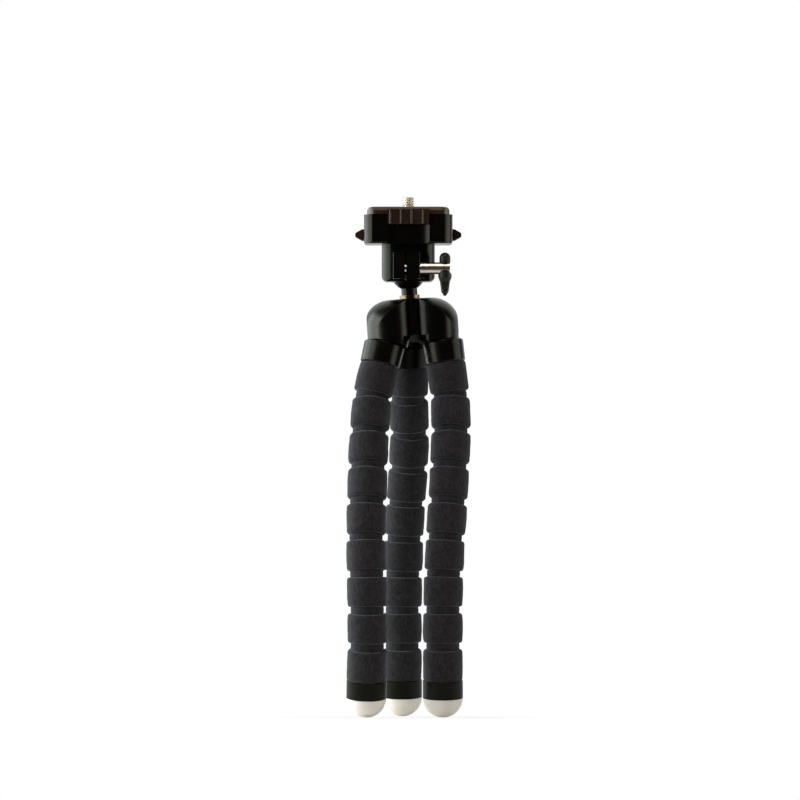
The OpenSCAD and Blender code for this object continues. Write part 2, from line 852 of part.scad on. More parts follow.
// the moulded lever across the rod: a short round arm above, and below a longer one
// with a saddle under the rod and a slanted thumb flat in front
module lock_lever()
    color([0.12, 0.12, 0.13])
        at_head()
            translate([lever_x, lock_y, lock_z]) {
                dome = lever_short_arm - lever_upper_r;
                point = lever_long_arm - lever_point;
                difference() {
                    union() {
                        cylinder(r = lever_upper_r, h = dome);
                        translate([0, 0, dome])
                            sphere(lever_upper_r);
                        translate([0, 0, -lever_saddle_low])
                            cylinder(r = lever_saddle_r, h = lever_saddle_low - lever_saddle_top);
                        translate([0, 0, -lever_waist])
                            cylinder(r1 = lever_waist_r, r2 = lever_saddle_r,
                                     h = lever_waist - lever_saddle_low);
                        translate([0, 0, -point])
                            cylinder(r1 = lever_point_r, r2 = lever_waist_r, h = point - lever_waist);
                        translate([0, 0, -lever_long_arm])
                            cylinder(r1 = lever_tip_r, r2 = lever_point_r, h = lever_point);
                    }
                    rotate([0, 90, 0])
                        cylinder(r = rod_r + seat / 2, h = 2 * beyond, center = true);
                    // the notch in front, where the rod shows
                    translate([-beyond, -beyond, -lever_notch_low])
                        cube([2 * beyond, beyond, lever_notch_low + rod_r]);
                    // the thumb flat
                    rotate([90, 0, 90])
                        linear_extrude(2 * beyond, center = true)
                            polygon([[-beyond, -lever_saddle_low], [-lever_saddle_r, -lever_saddle_low],
                                     [-lever_flat, -lever_waist], [-lever_flat, -beyond],
                                     [-beyond, -beyond]]);
                }
                cylinder(r = lever_pin_r, h = 2 * (rod_r + over), center = true);
            }

// Quick-release platform

module platform()
    color(gloss_black)
        at_head()
            difference() {
                foot_rounded_block(platform_x, platform_y, platform_low, ear_high,
                                   ear_corner, ear_foot_edge, ear_crest);
                // the channel between the ears
                translate([-channel_x, -platform_y - over, channel_floor])
                    cube([channel_width, over + platform_depth - stop_depth, beyond]);
                translate([stop_step - channel_x, 0, channel_floor])
                    cube([channel_width - 2 * stop_step, platform_y + over, beyond]);
                // the shallow bare panel at the front, hollowed towards the right
                translate([0, 0, platform_low - over])
                    linear_extrude(channel_floor - platform_low + 2 * over)
                        translate([0, -platform_y]) {
                            polygon([[-channel_x, -over], [-channel_x, 0],
                                     [-channel_x + panel_slope, panel_sink],
                                     [panel_curve_x, panel_sink], [panel_curve_x, -over]]);
                            translate([panel_curve_x, panel_sink - panel_curve])
                                circle(panel_curve, $fn = 96);
                        }
                // room for the buttons, their bars and springs
                for (s = [-1, 1]) {
                    translate([s * (cavity_x + inner_cavity_x + bar_wall) / 2, 0, button_z])
                        cube([cavity_x - inner_cavity_x - bar_wall, 2 * cavity_y, 2 * window_z],
                             center = true);
                    translate([s * platform_x, 0, button_z])
                        cube([4 * side_wall, 2 * window_y, 2 * window_z], center = true);
                    translate([s * (inner_cavity_x + bar_wall / 2), 0,
                               button_z - window_z + bar_height / 2 + loose])
                        cube([bar_wall + 2 * over, 2 * (bar_half_width + loose), bar_height + 2 * loose],
                             center = true);
                    translate([s * (lug_outer + bar_tip) / 2, 0, channel_floor])
                        cube([lug_outer - bar_tip + 2 * over, 2 * (lug_half_width + 3 * loose),
                              2 * channel_depth], center = true);
                    // the screws that hold the platform on the housing
                    translate([0, s * screw_place, platform_low - over])
                        cylinder(r = small_screw_r + loose, h = beyond);
                    translate([0, s * screw_place, platform_low + small_head_floor])
                        cylinder(r = small_head_r + loose, h = beyond);
                }
                translate([0, 0, button_z])
                    cube([2 * inner_cavity_x, 2 * cavity_y, 2 * window_z], center = true);
            }
// the two screws between platform and housing
module platform_screws()
    color([0.72, 0.72, 0.74])
        at_head()
            for (s = [-1, 1])
                translate([0, s * screw_place, platform_low + small_head_floor])
                    difference() {
                        union() {
                            cylinder(r = small_head_r, h = small_head_height);
                            translate([0, 0, -small_head_floor - small_screw_depth])
                                cylinder(r = small_screw_r, h = small_head_floor + small_screw_depth + over);
                        }
                        translate([0, 0, small_head_height])
                            cube([small_slot, 3 * small_slot, 2 * small_slot], center = true);
                        translate([0, 0, small_head_height])
                            cube([3 * small_slot, small_slot, 2 * small_slot], center = true);
                    }
// one release button with its bar and hook, drawn on the right-hand side
module release_button() {
    out = platform_x + button_reach;
    slope = platform_x + 10 * seat;
    root = cavity_x - over;
    h = button_half_height;
    translate([0, button_width / 2, button_z])
        rotate([90, 0, 0])
            linear_extrude(button_width)
                polygon([[root, -h], [slope, -h], [out - 0.7 * button_flat, -2 * button_flat],
                         [out, -button_flat], [out, button_flat], [out - 0.7 * button_flat, 2 * button_flat],
                         [slope, h], [root, h]]);
    // the shoulder that keeps the button in its window
    translate([cavity_x - loose - button_shoulder, -cavity_y + loose, button_z - h])
        cube([button_shoulder, 2 * (cavity_y - loose), 2 * h]);
    // the bar and the hook at its end
    translate([bar_tip, -bar_half_width, button_z - h])
        cube([cavity_x - bar_tip - over, 2 * bar_half_width, bar_height]);
    translate([bar_tip, -bar_half_width, button_z - h])
        cube([hook_width, 2 * bar_half_width, hook_height]);
    translate([bar_tip, -bar_half_width, button_z - h + hook_height - hook_lip_height])
        cube([hook_width + hook_lip, 2 * bar_half_width, hook_lip_height]);
}
brown_black = [0.14, 0.1, 0.095];
module release_button_right()
    color(brown_black)
        at_head()
            release_button();
module release_button_left()
    color(brown_black)
        at_head()
            mirror([1, 0, 0])
                release_button();
// a small coil spring behind each button, swept round its axis
spring_start = inner_cavity_x + bar_wall + 1.5 * seat;
spring_end = cavity_x - loose - button_shoulder - 1.5 * seat;
spring_z = button_z - button_half_height + bar_height + spring_coil_r + spring_wire_r + loose;
function spring_point(s, t) = [
    s * (spring_start + spring_wire_r + (spring_end - spring_start - 2 * spring_wire_r) * t),
    spring_coil_r * cos(360 * spring_turns * t),
    spring_z + spring_coil_r * sin(360 * spring_turns * t)
];
module release_springs() {
    sides = 6;
    count = 61;
    color([0.7, 0.7, 0.72])
        at_head()
            for (s = [-1, 1]) {
                corners = [
                    for (i = [0 : count - 1])
                        let (t = i / (count - 1), c = spring_point(s, t), a = 360 * spring_turns * t,
                             radial = [0, cos(a), sin(a)])
                            for (j = [0 : sides - 1])
                                c + spring_wire_r * (cos(360 * j / sides) * radial
                                                     + [s * sin(360 * j / sides), 0, 0])
                ];
                walls = [
                    for (i = [0 : count - 2], j = [0 : sides - 1])
                        let (a = i * sides + j, b = i * sides + (j + 1) % sides)
                            each (s > 0 ? [[a, a + sides, b], [b, a + sides, b + sides]]
                                        : [[a, b, a + sides], [b, b + sides, a + sides]])
                ];
                near = s > 0 ? [for (j = [0 : sides - 1]) j] : [for (j = [sides - 1 : -1 : 0]) j];
                far = s > 0 ? [for (j = [sides - 1 : -1 : 0]) (count - 1) * sides + j]
                            : [for (j = [0 : sides - 1]) (count - 1) * sides + j];
                polyhedron(corners, concat(walls, [near, far]), convexity = 10);
            }
}
// the quick-release plate: flange, ribbed tongue, two catch lugs below
module quick_release_plate()
    color(brown_black)
        at_head()
            difference() {
                union() {
                    // the flange, its upper edges rounded
                    mirror([0, 0, 1])
                        foot_rounded_block(plate_x, plate_y, -flange_high, -flange_low,
                                           plate_corner, plate_edge);
                    translate([-tongue_x, -plate_y - tongue_front, tongue_low])
                        cube([2 * tongue_x, plate_y + tongue_front,
                              flange_high - plate_edge / 2 - tongue_low]);
                    translate([-tongue_x, -over, tongue_low])
                        cube([2 * tongue_x, over + platform_y - stop_depth - loose,
                              flange_low + over - tongue_low]);
                    translate([stop_step - tongue_x, -over, tongue_low])
                        cube([2 * (tongue_x - stop_step), over + plate_y, flange_low + over - tongue_low]);
                    // the four grip ribs at the front
                    for (x = rib_places)
                        translate([x, -plate_y - tongue_front, tongue_low + rib_end])
                            cylinder(r = rib_r, h = flange_high - plate_edge / 2 - tongue_low - 2 * rib_end);
                    // the catch lugs
                    for (s = [-1, 1]) {
                        translate([s * (lug_outer - lug_thickness / 2), 0, tongue_low - lug_drop / 2 + seat])
                            cube([lug_thickness, 2 * lug_half_width, lug_drop + 2 * seat], center = true);
                        translate([s * (lug_outer - (lug_thickness + lug_lip) / 2), 0,
                                   tongue_low - lug_drop + lug_lip_height / 2])
                            cube([lug_thickness + lug_lip, 2 * lug_half_width, lug_lip_height],
                                 center = true);
                    }
                }
                // the recess for the pad
                translate([0, 0, pad_low])
                    linear_extrude(beyond)
                        rounded_box_outline(plate_x - pad_margin + seat, plate_y - pad_margin + seat,
                                            pad_corner + seat);
                // room for the camera screw's head and its neck
                translate([0, 0, tongue_low - over])
                    cylinder(r = screw_head_r + loose + 2 * seat, h = over + screw_head_room);
                translate([0, 0, tongue_low])
                    cylinder(r = screw_r + 2 * seat, h = beyond);
            }
// the rubber pad that the camera rests on
module plate_pad()
    color([0.08, 0.07, 0.07])
        at_head()
            translate([0, 0, pad_low])
                difference() {
                    linear_extrude(pad_thickness)
                        rounded_box_outline(plate_x - pad_margin, plate_y - pad_margin, pad_corner);
                    translate([0, 0, -over])
                        cylinder(r = screw_r + 5 * seat, h = pad_thickness + 2 * over);
                }
// the captive camera screw with its slotted head
module camera_screw() {
    neck_low = tongue_low + screw_head_low + screw_head_height - 2 * seat;
    color([0.83, 0.74, 0.5])
        at_head()
            difference() {
                union() {
                    translate([0, 0, tongue_low + screw_head_low])
                        cylinder(r = screw_head_r, h = screw_head_height);
                    translate([0, 0, neck_low])
                        cylinder(r = screw_neck_r, h = screw_seat - neck_low + over);
                    translate([0, 0, screw_seat])
                        cylinder(r = screw_r, h = screw_top - screw_seat - screw_chamfer);
                    translate([0, 0, screw_top - screw_chamfer])
                        cylinder(r1 = screw_r, r2 = screw_r - screw_chamfer, h = screw_chamfer);
                }
                translate([-screw_head_r - over, -coin_slot / 2, tongue_low + screw_head_low - over])
                    cube([2 * (screw_head_r + over), coin_slot, over + coin_slot_depth]);
            }
}

// the piece to draw, or all of them

left_collar();
left_foam_1();
left_foam_2();
left_foam_3();
left_foam_4();
left_foam_5();
left_foam_6();
left_foam_7();
left_foam_8();
left_foam_9();
left_ferrule();
left_foot();
left_core_wire();
right_collar();
right_foam_1();
right_foam_2();
right_foam_3();
right_foam_4();
right_foam_5();
right_foam_6();
right_foam_7();
right_foam_8();
right_foam_9();
right_ferrule();
right_foot();
right_core_wire();
rear_collar();
rear_foam_1();
rear_foam_2();
rear_foam_3();
rear_foam_4();
rear_foam_5();
rear_foam_6();
rear_foam_7();
rear_foam_8();
rear_foam_9();
rear_ferrule();
rear_foot();
rear_core_wire();
hub_shell();
hub_spider();
hub_bolt();
stem_washer();
ball_stem();
ball_retainer_ring();
ball_friction_cup();
clamp_housing();
clamp_nut();
lock_screw();
lock_lever();
platform();
platform_screws();
release_button_left();
release_button_right();
release_springs();
quick_release_plate();
plate_pad();
camera_screw();
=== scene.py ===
"""Looks of a flexible leg tripod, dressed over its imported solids.

The foam rings, the bending core wires, the springs of the release buttons and the threaded camera
screw are modelled here. The moulded and turned parts keep their own solids and get finishes worked
out in nodes.
"""

import json
import math

import bpy
from mathutils import Matrix, Vector


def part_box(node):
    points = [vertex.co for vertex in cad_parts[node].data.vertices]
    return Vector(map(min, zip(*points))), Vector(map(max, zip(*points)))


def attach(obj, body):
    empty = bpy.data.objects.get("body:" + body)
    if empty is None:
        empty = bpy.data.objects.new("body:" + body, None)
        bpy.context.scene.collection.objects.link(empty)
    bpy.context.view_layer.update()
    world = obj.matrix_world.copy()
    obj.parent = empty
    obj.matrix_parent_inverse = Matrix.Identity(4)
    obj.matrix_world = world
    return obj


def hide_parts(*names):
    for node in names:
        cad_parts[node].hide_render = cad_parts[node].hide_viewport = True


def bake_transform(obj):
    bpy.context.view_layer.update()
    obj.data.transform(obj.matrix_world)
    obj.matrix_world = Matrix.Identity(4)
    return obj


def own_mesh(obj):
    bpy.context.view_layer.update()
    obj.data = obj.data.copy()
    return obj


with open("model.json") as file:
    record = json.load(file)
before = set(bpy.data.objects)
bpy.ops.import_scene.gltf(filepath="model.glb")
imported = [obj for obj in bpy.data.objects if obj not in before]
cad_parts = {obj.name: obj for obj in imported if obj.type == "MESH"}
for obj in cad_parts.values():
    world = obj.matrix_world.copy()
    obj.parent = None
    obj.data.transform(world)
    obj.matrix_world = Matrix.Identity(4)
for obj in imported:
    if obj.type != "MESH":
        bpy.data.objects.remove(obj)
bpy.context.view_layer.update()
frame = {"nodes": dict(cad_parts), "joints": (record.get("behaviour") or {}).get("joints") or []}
nodes = frame["nodes"]
joints = {joint["name"]: joint for joint in frame["joints"]}

MM = 0.001
WELD = 0.002 * MM
LEGS = ("left", "right", "rear")
RINGS = 9


# Leg sizes, as the solids have them, but with the necks a little fatter

RING_RADIUS = 10.3 * MM
RING_HEIGHT = 15.3 * MM
LAST_RING_HEIGHT = 15.9 * MM
HALF_GAP = 1.75 * MM
RING_PITCH = RING_HEIGHT + 2 * HALF_GAP
COLLAR_HEIGHT = 11.7 * MM
COLLAR_PLUG_RADIUS = 8.15 * MM
COLLAR_PLUG_HEIGHT = 3.95 * MM
NECK_RADIUS = 8.6 * MM
NECK_TAIL = 5 * MM
CUP_RADIUS = 8.75 * MM
BORE_RADIUS = 2.45 * MM
FLARE_RADIUS = 4.27 * MM
FERRULE_PLUG_RADIUS = 6.2 * MM
FERRULE_PLUG_HEIGHT = 5 * MM
FOOT_RADIUS = 10.3 * MM


# Modelling helpers

def nothing_selected():
    """Leave edit mode and let go of every object."""
    if bpy.context.object is not None and bpy.context.object.mode != "OBJECT":
        bpy.ops.object.mode_set(mode="OBJECT")
    bpy.ops.object.select_all(action="DESELECT")


def pick(piece):
    """Make one object the only selected and active one."""
    nothing_selected()
    piece.select_set(True)
    bpy.context.view_layer.objects.active = piece


def apply_all(piece):
    """Apply every modifier of a piece, in order."""
    pick(piece)
    for modifier in list(piece.modifiers):
        bpy.ops.object.modifier_apply(modifier=modifier.name)


def settle(piece):
    """Move a piece's placement into its mesh."""
    pick(piece)
    bpy.ops.object.transform_apply(location=True, rotation=True, scale=True)


def standing(place, direction):
    """Placement that stands an upright piece at a place, along a direction."""
    turn = Vector((0, 0, 1)).rotation_difference(direction.normalized())
    return Matrix.Translation(place) @ turn.to_matrix().to_4x4()


def arc(centre, radius, first, last, steps):
    """Points on an arc of the outline, angles in degrees from the outward direction."""
    points = []
    for i in range(steps + 1):
        angle = math.radians(first + (last - first) * i / steps)
        across = centre[0] + radius[0] * math.cos(angle)
        points.append((across, centre[1] + radius[1] * math.sin(angle)))
    return points


def drawn_line(name, points):
    """Start a piece as a line of (radius, height) points, and stay in edit mode."""
    nothing_selected()
    bpy.ops.mesh.primitive_plane_add(size=MM)
    piece = bpy.context.object
    piece.name = name
    bpy.ops.object.mode_set(mode="EDIT")
    bpy.ops.mesh.select_all(action="SELECT")
    bpy.ops.mesh.merge(type="CENTER")
    start = points[0]
    bpy.ops.transform.translate(value=(start[0], 0, start[1]))
    for before, here in zip(points, points[1:]):
        step = (here[0] - before[0], 0, here[1] - before[1])
        bpy.ops.mesh.extrude_region_move(TRANSFORM_OT_translate={"value": step})
    return piece


def face_outwards():
    """Turn all faces of the mesh being edited outwards, and leave edit mode."""
    bpy.ops.mesh.select_all(action="SELECT")
    bpy.ops.mesh.normals_make_consistent(inside=False)
    bpy.ops.object.mode_set(mode="OBJECT")


def turned_piece(name, outline, around):
    """Draw a half outline of (radius, height) points and spin it into a closed turned piece."""
    piece = drawn_line(name, outline)
    bpy.ops.mesh.select_all(action="SELECT")
    bpy.ops.mesh.spin(steps=around, angle=2 * math.pi, center=(0, 0, 0), axis=(0, 0, 1))
    bpy.ops.mesh.select_all(action="SELECT")
    bpy.ops.mesh.remove_doubles(threshold=WELD)
    face_outwards()
    return piece


def wind(piece, rise, turns, steps):
    """Wind a drawn line or ring round the upright axis into a thread or a coil."""
    winding = piece.modifiers.new("winding", "SCREW")
    winding.axis = "Z"
    winding.screw_offset = rise
    winding.iterations = turns
    winding.steps = steps
    winding.render_steps = steps
    apply_all(piece)


def combine(piece, operation, other):
    """Cut, trim or join a piece with another one, which is used up."""
    change = piece.modifiers.new("combination", "BOOLEAN")
    change.operation = operation
    change.solver = "EXACT"
    change.object = other
    apply_all(piece)
    bpy.data.objects.remove(other)


# Foam rings

EDGE_ACROSS = 1.4 * MM
EDGE_ALONG = 1.55 * MM
EDGE_STEPS = 7
LAST_EDGE = 0.8 * MM
LAST_EDGE_STEPS = 4
CROWN = 0.12 * MM
WALL_STEPS = 12
NECK_STEPS = 9
AROUND = 72
OUTSIDE_FROM = 8.7 * MM
OUTSIDE_FADE = 1.2 * MM
WAVE_SIZE = 9 * MM
WAVE_DEPTH = 0.5 * MM
DENT_SIZE = 2.2 * MM
DENT_DEPTH = 0.22 * MM


def ring_wall(high, low, rounded_below=True):
    """Outline of a foam ring's outside from its top face to its underside, a little barrelled."""
    edge = RING_RADIUS - CROWN - EDGE_ACROSS
    across = (EDGE_ACROSS, EDGE_ALONG)
    top = high - EDGE_ALONG
    foot_edge = EDGE_ALONG if rounded_below else LAST_EDGE
    bottom = low + foot_edge
    points = arc((edge, top), across, 90, 0, EDGE_STEPS)
    for i in range(1, WALL_STEPS):
        share = i / WALL_STEPS
        bulge = CROWN * (1 - (2 * share - 1) ** 2)
        points.append((RING_RADIUS - CROWN + bulge, top + (bottom - top) * share))
    if rounded_below:
        points += arc((edge, bottom), across, 0, -90, EDGE_STEPS)
    else:
        last_edge = RING_RADIUS - CROWN - foot_edge
        points += arc((last_edge, bottom), (foot_edge, foot_edge), 0, -90, LAST_EDGE_STEPS)
    return points


def neck_and_bore(bend, top):
    """Outline of the ball neck below a ring, then up its flared bore to a height."""
    first = math.degrees(math.asin(HALF_GAP / NECK_RADIUS))
    last = -math.degrees(math.asin(NECK_TAIL / NECK_RADIUS))
    points = arc((0, bend), (NECK_RADIUS, NECK_RADIUS), first, last, NECK_STEPS)
    points.append((FLARE_RADIUS, bend - NECK_TAIL))
    points.append((BORE_RADIUS, bend))
    points.append((BORE_RADIUS, top))
    return points


def cup():
    """Outline of the cup that takes the neck above, from the bore out to the ring's top face."""
    first = -math.degrees(math.acos(BORE_RADIUS / CUP_RADIUS))
    last = -math.degrees(math.asin(HALF_GAP / CUP_RADIUS))
    return arc((0, 0), (CUP_RADIUS, CUP_RADIUS), first, last, NECK_STEPS)


def first_ring_outline():
    """The ring under the collar, with the plug that goes up into it."""
    high = -HALF_GAP - COLLAR_HEIGHT
    low = high - RING_HEIGHT
    plug_top = high + COLLAR_PLUG_HEIGHT
    points = [(BORE_RADIUS, plug_top), (COLLAR_PLUG_RADIUS, plug_top), (COLLAR_PLUG_RADIUS, high)]
    points += ring_wall(high, low)
    points += neck_and_bore(low - HALF_GAP, plug_top)
    return points


def middle_ring_outline():
    """A ring with a cup above and a neck below."""
    low = -HALF_GAP - RING_HEIGHT
    cup_points = cup()
    points = ring_wall(-HALF_GAP, low)
    points += neck_and_bore(-RING_PITCH, cup_points[0][1])
    points += cup_points[1:]
    points.append(points[0])
    return points


def last_ring_outline():
    """The lowest ring, with a hole below for the ferrule's plug."""
    low = -HALF_GAP - LAST_RING_HEIGHT
    cup_points = cup()
    hole_top = low + FERRULE_PLUG_HEIGHT
    points = ring_wall(-HALF_GAP, low, rounded_below=False)
    points += [(FERRULE_PLUG_RADIUS, low), (FERRULE_PLUG_RADIUS, hole_top), (BORE_RADIUS, hole_top)]
    points += cup_points
    points.append(points[0])
    return points


def clouds(name, size, depth):
    """A cloud texture for pressing into foam."""
    texture = bpy.data.textures.new(name, "CLOUDS")
    texture.noise_scale = size
    texture.noise_depth = depth
    return texture


FOAM_WAVES = clouds("foam waves", WAVE_SIZE, 0)
FOAM_DENTS = clouds("foam dents", DENT_SIZE, 1)


def mark_outside(piece):
    """Weight the outer wall, where the foam is a little uneven, and leave the fitting faces true."""
    group = piece.vertex_groups.new(name="outside")
    for vertex in piece.data.vertices:
        reach = math.hypot(vertex.co.x, vertex.co.y)
        weight = min(1, max(0, (reach - OUTSIDE_FROM) / OUTSIDE_FADE))
        if weight > 0:
            group.add([vertex.index], weight, "REPLACE")


def uneven_foam(piece):
    """Press the small unevenness of cut and moulded foam into a ring's outside."""
    for texture, depth in ((FOAM_WAVES, WAVE_DEPTH), (FOAM_DENTS, DENT_DEPTH)):
        press = piece.modifiers.new(texture.name, "DISPLACE")
        press.texture = texture
        press.texture_coords = "LOCAL"
        press.strength = depth
        press.mid_level = 0.5
        press.vertex_group = "outside"
    apply_all(piece)
    bpy.ops.object.shade_smooth()


def neck_joint(leg, k):
    """The joint of a leg's bending point: 0 under the hub, then one in each neck."""
    if k == 0:
        return joints[leg + "_collar_splay"]
    return joints[leg + "_neck_%d_%s" % (k, "splay" if k % 2 else "sway")]


def leg_body(leg, k):
    """The body that carries ring k of a leg, counted from 0 under the hub."""
    return leg + (" leg root" if k == 0 else " ring %d" % (k + 1))


def foot_centre(leg):
    """Centre of the round foot, from the box of the solid."""
    low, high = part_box(leg + "_foot")
    middle = (low + high) / 2
    return Vector((middle.x, middle.y, low.z + FOOT_RADIUS))


def ring_placement(leg, k):
    """Where a ring's own bending point is, and how far the leg leans there."""
    here = Vector(neck_joint(leg, k)["pos_m"])
    if k < RINGS - 1:
        up = here - Vector(neck_joint(leg, k + 1)["pos_m"])
    else:
        up = here - foot_centre(leg)
    return standing(here, up)


def foam_legs():
    """Model the three kinds of foam ring once, then copy them down the legs."""
    first = turned_piece("first_ring_model", first_ring_outline(), AROUND)
    middle = turned_piece("middle_ring_model", middle_ring_outline(), AROUND)
    last = turned_piece("last_ring_model", last_ring_outline(), AROUND)
    for model in (first, middle, last):
        mark_outside(model)
    rings = []
    for leg in LEGS:
        for k in range(RINGS):
            model = first if k == 0 else last if k == RINGS - 1 else middle
            ring = model.copy()
            ring.data = model.data.copy()
            ring.name = "%s_foam_ring_%d" % (leg, k + 1)
            bpy.context.scene.collection.objects.link(ring)
            ring.matrix_world = ring_placement(leg, k)
            settle(ring)
            uneven_foam(ring)
            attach(ring, leg_body(leg, k))
            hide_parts("%s_foam_%d" % (leg, k + 1))
            rings.append(ring)
    for model in (first, middle, last):
        bpy.data.objects.remove(model)
    return rings


# Core wires

WIRE_RADIUS = 2 * MM
WIRE_SIDES = 16
WIRE_BEND = 3 * MM
WIRE_STEPS = 8
WIRE_ROOT = 7 * MM
WIRE_TAIL = 2.6 * MM
WIRE_SMOOTH = math.radians(40)
HUB_LEAN = math.radians(3.5)


def wire_ends(leg, bends):
    """The top of a leg's core wire, upright in the leaning hub, and its bottom, in the ferrule."""
    up = Vector((-math.sin(HUB_LEAN), 0, math.cos(HUB_LEAN)))
    down = (foot_centre(leg) - bends[-1]).normalized()
    top = bends[0] + up * WIRE_ROOT
    bottom = bends[-1] + down * (HALF_GAP + LAST_RING_HEIGHT + WIRE_TAIL)
    return top, bottom


def towards(place, other):
    """The point where a wire's bend round a place begins or ends, on the way to another point."""
    return place + (other - place).normalized() * WIRE_BEND


def wire_length(name, first, middle, last):
    """Round wire drawn from one point to another, turning softly through the middle one."""
    nothing_selected()
    bpy.ops.mesh.primitive_circle_add(vertices=WIRE_SIDES, radius=WIRE_RADIUS, fill_type="NGON")
    wire = bpy.context.object
    wire.name = name
    wire.matrix_world = standing(first, middle - first)
    settle(wire)
    into_turn = towards(middle, first)
    out_of_turn = towards(middle, last)
    stops = [into_turn]
    for i in range(1, WIRE_STEPS + 1):
        share = i / WIRE_STEPS
        stops.append(into_turn.lerp(middle, share).lerp(middle.lerp(out_of_turn, share), share))
    stops.append(last)
    bpy.ops.object.mode_set(mode="EDIT")
    bpy.ops.mesh.select_all(action="SELECT")
    here = first
    for stop in stops:
        bpy.ops.mesh.extrude_region_move(TRANSFORM_OT_translate={"value": stop - here})
        here = stop
    face_outwards()
    bpy.ops.object.shade_smooth_by_angle(angle=WIRE_SMOOTH)
    return wire


def core_wires():
    """Draw each leg's core wire in lengths, one round each bend at the collar and the necks."""
    lengths = []
    for leg in LEGS:
        bends = [Vector(neck_joint(leg, k)["pos_m"]) for k in range(RINGS)]
        top, bottom = wire_ends(leg, bends)
        halfway = [(above + below) / 2 for above, below in zip(bends, bends[1:])]
        ends = [top] + halfway + [bottom]
        for k, bend in enumerate(bends):
            length = wire_length("%s_wire_%d" % (leg, k + 1), ends[k], bend, ends[k + 1])
            start = towards(bend, ends[k])
            end = towards(bend, ends[k + 1])
            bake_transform(length)
            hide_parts(leg + "_core_wire")
            lengths.append(length)
    return lengths


# Release springs

SPRING_RADIUS = 1.35 * MM
SPRING_WIRE = 0.3 * MM
SPRING_SIDES = 8
SPRING_TURNS = 5
SPRING_STEPS = 20
SPRING_SMOOTH = math.radians(50)


def release_spring(name, side):
    """A wound spring from the head's wall out to a button."""
    low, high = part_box("release_springs")
    inner = min(abs(vertex.co.x) for vertex in nodes["release_springs"].data.vertices)
    length = high.x - inner
    seat = Vector((side * inner, 0, (low.z + high.z) / 2))
    outward = Vector((side, 0, 0))
    nothing_selected()
    bpy.ops.mesh.primitive_circle_add(
        vertices=SPRING_SIDES, radius=SPRING_WIRE,
        location=(SPRING_RADIUS, 0, SPRING_WIRE), rotation=(math.radians(90), 0, 0),
    )
    spring = bpy.context.object
    spring.name = name
    settle(spring)
    wind(spring, (length - 2 * SPRING_WIRE) / SPRING_TURNS, SPRING_TURNS, SPRING_STEPS)
    bpy.ops.object.mode_set(mode="EDIT")
    bpy.ops.mesh.select_all(action="SELECT")
    bpy.ops.mesh.fill_holes(sides=0)
    face_outwards()
    turn = outward.to_track_quat("Z", "Y").to_matrix().to_4x4()
    spring.matrix_world = Matrix.Translation(seat) @ turn
    settle(spring)
    bpy.ops.object.shade_smooth_by_angle(angle=SPRING_SMOOTH)
    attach(spring, "head")
    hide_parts("release_springs")
    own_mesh(spring)
    return spring


# Camera screw, with the heights on one thread tooth where its flanks and crest begin and end

THREAD_PITCH = 1.27 * MM
THREAD_RADIUS = 3.175 * MM
THREAD_DEPTH = 0.72 * MM
THREAD_LENGTH = 5.3 * MM
THREAD_CHAMFER = 0.5 * MM
THREAD_TURNS = 8
THREAD_STEPS = 40
FLANK_START = 0.12 * MM
CREST_START = 0.56 * MM
CREST_END = 0.71 * MM
FLANK_END = 1.15 * MM
BLANK_ROOM = 0.02 * MM
SCREW_HEAD_RADIUS = 6 * MM
SCREW_HEAD_HEIGHT = 2 * MM
SCREW_HEAD_EDGE = 0.3 * MM
SCREW_NECK_RADIUS = 2.3 * MM
SCREW_NECK_OVERLAP = 0.4 * MM
COIN_SLOT = (14 * MM, 1.6 * MM, 2.2 * MM)
SCREW_AROUND = 48
SCREW_SMOOTH = math.radians(32)


def rolled_thread(name, start):
    """A closed screw of thread teeth, wound up from a height."""
    root = THREAD_RADIUS - THREAD_DEPTH
    tooth = [
        (root, 0), (root, FLANK_START), (THREAD_RADIUS, CREST_START),
        (THREAD_RADIUS, CREST_END), (root, FLANK_END), (root, THREAD_PITCH),
    ]
    thread = drawn_line(name, [(radius, start + height) for radius, height in tooth])
    wind(thread, THREAD_PITCH, THREAD_TURNS, THREAD_STEPS)
    bpy.ops.object.mode_set(mode="EDIT")
    bpy.ops.mesh.select_all(action="SELECT")
    bpy.ops.mesh.remove_doubles(threshold=WELD)
    bpy.ops.mesh.select_all(action="DESELECT")
    bpy.ops.mesh.select_non_manifold(extend=False, use_wire=True, use_boundary=True)
    bpy.ops.mesh.edge_face_add()
    face_outwards()
    return thread


def thread_blank(low, top):
    """The chamfered rod that the thread is cut to."""
    outside = THREAD_RADIUS + BLANK_ROOM
    outline = [
        (0, low), (outside, low), (outside, top - THREAD_CHAMFER),
        (THREAD_RADIUS - THREAD_CHAMFER, top), (0, top),
    ]
    return turned_piece("thread_blank", outline, SCREW_AROUND)


def slotted_shank(base, thread_low):
    """The head with its coin slot, and the neck up to the thread."""
    head_top = base + SCREW_HEAD_HEIGHT
    edge_radius = SCREW_HEAD_RADIUS - SCREW_HEAD_EDGE
    neck_top = thread_low + SCREW_NECK_OVERLAP
    outline = [
        (0, base), (edge_radius, base), (SCREW_HEAD_RADIUS, base + SCREW_HEAD_EDGE),
        (SCREW_HEAD_RADIUS, head_top - SCREW_HEAD_EDGE), (edge_radius, head_top),
        (SCREW_NECK_RADIUS, head_top), (SCREW_NECK_RADIUS, neck_top), (0, neck_top),
    ]
    shank = turned_piece("screw_shank", outline, SCREW_AROUND)
    nothing_selected()
    bpy.ops.mesh.primitive_cube_add(size=1, location=(0, 0, base))
    cutter = bpy.context.object
    bpy.ops.transform.resize(value=COIN_SLOT)
    settle(cutter)
    combine(shank, "DIFFERENCE", cutter)
    return shank


